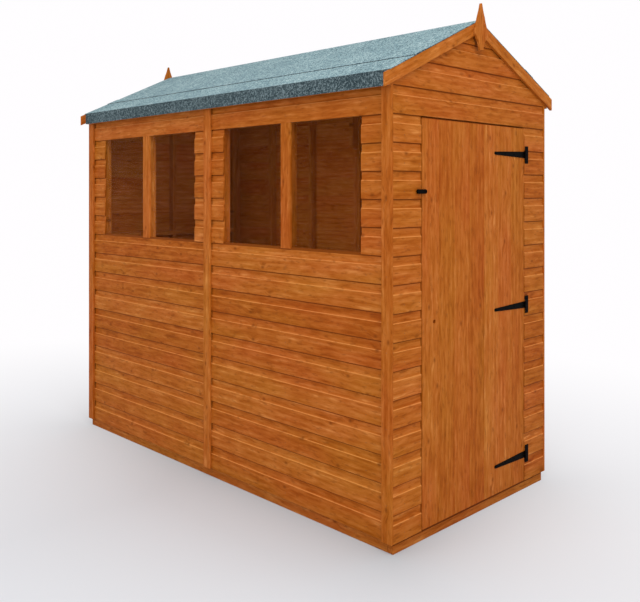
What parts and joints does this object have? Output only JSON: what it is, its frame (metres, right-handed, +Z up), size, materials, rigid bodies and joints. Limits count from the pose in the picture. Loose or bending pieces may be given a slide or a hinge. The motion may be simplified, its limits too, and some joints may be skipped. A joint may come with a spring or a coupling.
{
  "type": "garden shed",
  "caption": "Small apex garden shed of shiplap panels with a felted roof, windows along one side and a boarded door in the gable end.",
  "frame": {"origin": "centre of the rectangle that the shed covers in plan, on the ground under the base frame", "axes": "+Z up, +Y along the length towards the plain gable, -Y out of the door gable, -X out of the window wall"},
  "size_m": [1.27, 2.474, 2.2619],
  "materials": {
    "stained_boarding": "sawn softwood with a golden brown dip stain",
    "framing": "sawn softwood with a golden brown dip stain",
    "deal_boards": "sawn softwood boards",
    "roofing_felt": "bitumen felt with a grey green mineral face",
    "glass": "clear sheet",
    "black_iron": "black japanned ironmongery"
  },
  "bodies": {
    "root": {"base_frame": "framing", "floor_boards": "deal_boards", "window_wall_front": "stained_boarding", "window_wall_rear": "stained_boarding", "window_frame_front": "framing", "window_frame_rear": "framing", "plain_wall_front": "stained_boarding", "plain_wall_rear": "stained_boarding", "plain_frame_front": "framing", "plain_frame_rear": "framing", "rear_gable_wall": "stained_boarding", "rear_gable_frame": "framing", "front_pier_left": "stained_boarding", "front_pier_right": "stained_boarding", "front_gable_wall": "stained_boarding", "pier_frame_left": "framing", "pier_frame_right": "framing", "front_gable_frame": "framing", "corner_strips": "stained_boarding", "mid_strips": "stained_boarding", "mullions": "stained_boarding", "window_beads": "framing", "glazing": "glass", "roof_boards_left": "deal_boards", "roof_boards_right": "deal_boards", "felt_left": "roofing_felt", "felt_right": "roofing_felt", "felt_ridge": "roofing_felt", "eaves_battens": "deal_boards", "roof_truss": "framing", "bargeboard_front_left": "stained_boarding", "bargeboard_front_right": "stained_boarding", "bargeboard_rear_left": "stained_boarding", "bargeboard_rear_right": "stained_boarding", "finials": "stained_boarding", "door_stops": "framing", "hinge_plates": "black_iron"},
    "door": {"door_boards": "stained_boarding", "door_ledges": "framing", "door_braces": "framing", "hinge_straps": "black_iron", "button_pivot": "black_iron"},
    "turn_button": {"turn_button": "black_iron"}
  },
  "joints": [
    {"name": "door_hinge", "type": "hinge", "parent": "root", "child": "door", "pos_m": [0.394, -1.2175, 0.889], "axis": [0, 0, 1], "range_deg": [0, 165]},
    {"name": "button_turn", "type": "hinge", "parent": "door", "child": "turn_button", "pos_m": [-0.382, -1.22, 1.43], "axis": [0, 1, 0], "range_deg": [-90, 90]}
  ]
}
